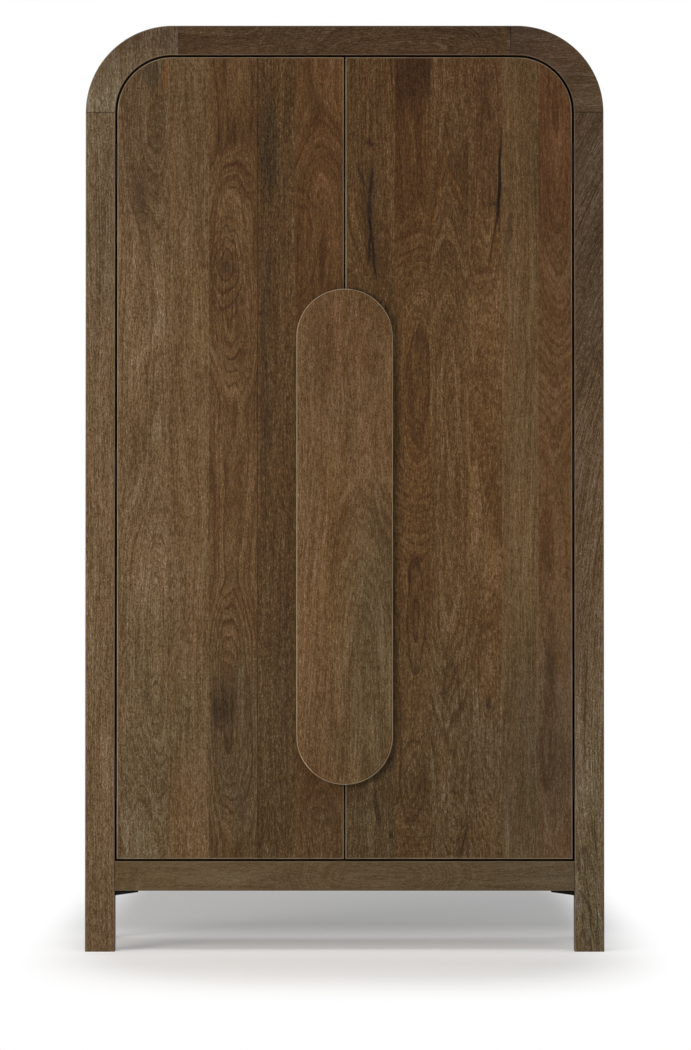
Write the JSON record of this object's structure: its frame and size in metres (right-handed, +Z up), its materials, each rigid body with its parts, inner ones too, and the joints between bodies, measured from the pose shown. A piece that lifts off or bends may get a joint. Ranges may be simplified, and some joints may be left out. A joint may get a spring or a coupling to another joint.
{
  "type": "bar armoire",
  "caption": "Tall bar armoire in brown stained wood with rounded top corners, inset double doors, a long round-ended pull plate, shelves, a bottle grid and stemware rails.",
  "frame": {"origin": "middle of the object's box on the floor, with the pull plate counted in the depth", "axes": "+Z up, -Y out of the front, +X to the right seen from the front"},
  "size_m": [0.965, 0.457, 1.724],
  "materials": {
    "frame_wood": "satin stained solid wood",
    "door_wood": "satin stained solid wood, edge-glued boards",
    "pull_wood": "satin stained solid wood",
    "shell_wood": "satin stained solid wood",
    "inner_wood": "satin stained solid wood",
    "back_wood": "stained plywood",
    "dowel_wood": "plain beech",
    "black_steel": "matt black",
    "zinc_steel": "zinc plated",
    "catch_plastic": "brown moulded plastic"
  },
  "bodies": {
    "case": {"adjustable_shelf": "inner_wood", "back_panel": "back_wood", "back_panel_screws": "zinc_steel", "bay_shelf": "inner_wood", "bottle_grid_levels": "inner_wood", "bottle_grid_uprights": "inner_wood", "case_hinge_leaves": "black_steel", "case_hinge_screws": "black_steel", "catch_housings": "catch_plastic", "catch_magnets": "zinc_steel", "catch_screws": "zinc_steel", "cleat_screws": "zinc_steel", "divider": "inner_wood", "floor_panel": "inner_wood", "frame_dowels": "dowel_wood", "front_apron": "frame_wood", "front_top_rail": "frame_wood", "hinge_pins": "black_steel", "left_front_corner": "frame_wood", "left_front_post": "frame_wood", "left_leg_brace": "black_steel", "left_rear_corner": "shell_wood", "left_rear_post": "shell_wood", "left_shoulder_panel": "shell_wood", "left_side_panel": "shell_wood", "leg_brace_screws": "black_steel", "rear_apron": "shell_wood", "rear_top_rail": "shell_wood", "right_front_corner": "frame_wood", "right_front_post": "frame_wood", "right_leg_brace": "black_steel", "right_rear_corner": "shell_wood", "right_rear_post": "shell_wood", "right_shoulder_panel": "shell_wood", "right_side_panel": "shell_wood", "serving_shelf": "inner_wood", "shelf_cleats": "inner_wood", "shelf_pins": "zinc_steel", "stemware_flanges": "inner_wood", "stemware_screws": "zinc_steel", "stemware_webs": "inner_wood", "top_panel": "shell_wood", "upper_shelf": "inner_wood"},
    "left_door": {"left_batten_screws": "zinc_steel", "left_door_battens": "inner_wood", "left_door_hinge_leaves": "black_steel", "left_door_hinge_screws": "black_steel", "left_door_panel": "door_wood", "left_strike": "zinc_steel", "left_strike_screws": "zinc_steel"},
    "right_door": {"pull_plate": "pull_wood", "pull_screws": "zinc_steel", "right_batten_screws": "zinc_steel", "right_door_battens": "inner_wood", "right_door_hinge_leaves": "black_steel", "right_door_hinge_screws": "black_steel", "right_door_panel": "door_wood", "right_strike": "zinc_steel", "right_strike_screws": "zinc_steel"}
  },
  "joints": [
    {"name": "right_door_hinge", "type": "hinge", "parent": "case", "child": "right_door", "pos_m": [0.4255, -0.206, 0.9], "axis": [0, 0, 1], "range_deg": [0, 105]},
    {"name": "left_door_hinge", "type": "hinge", "parent": "case", "child": "left_door", "pos_m": [-0.4255, -0.206, 0.9], "axis": [0, 0, -1], "range_deg": [0, 105]}
  ],
  "couplings": [
    {"joint": "left_door_hinge", "follows": "right_door_hinge", "ratio": 1}
  ]
}
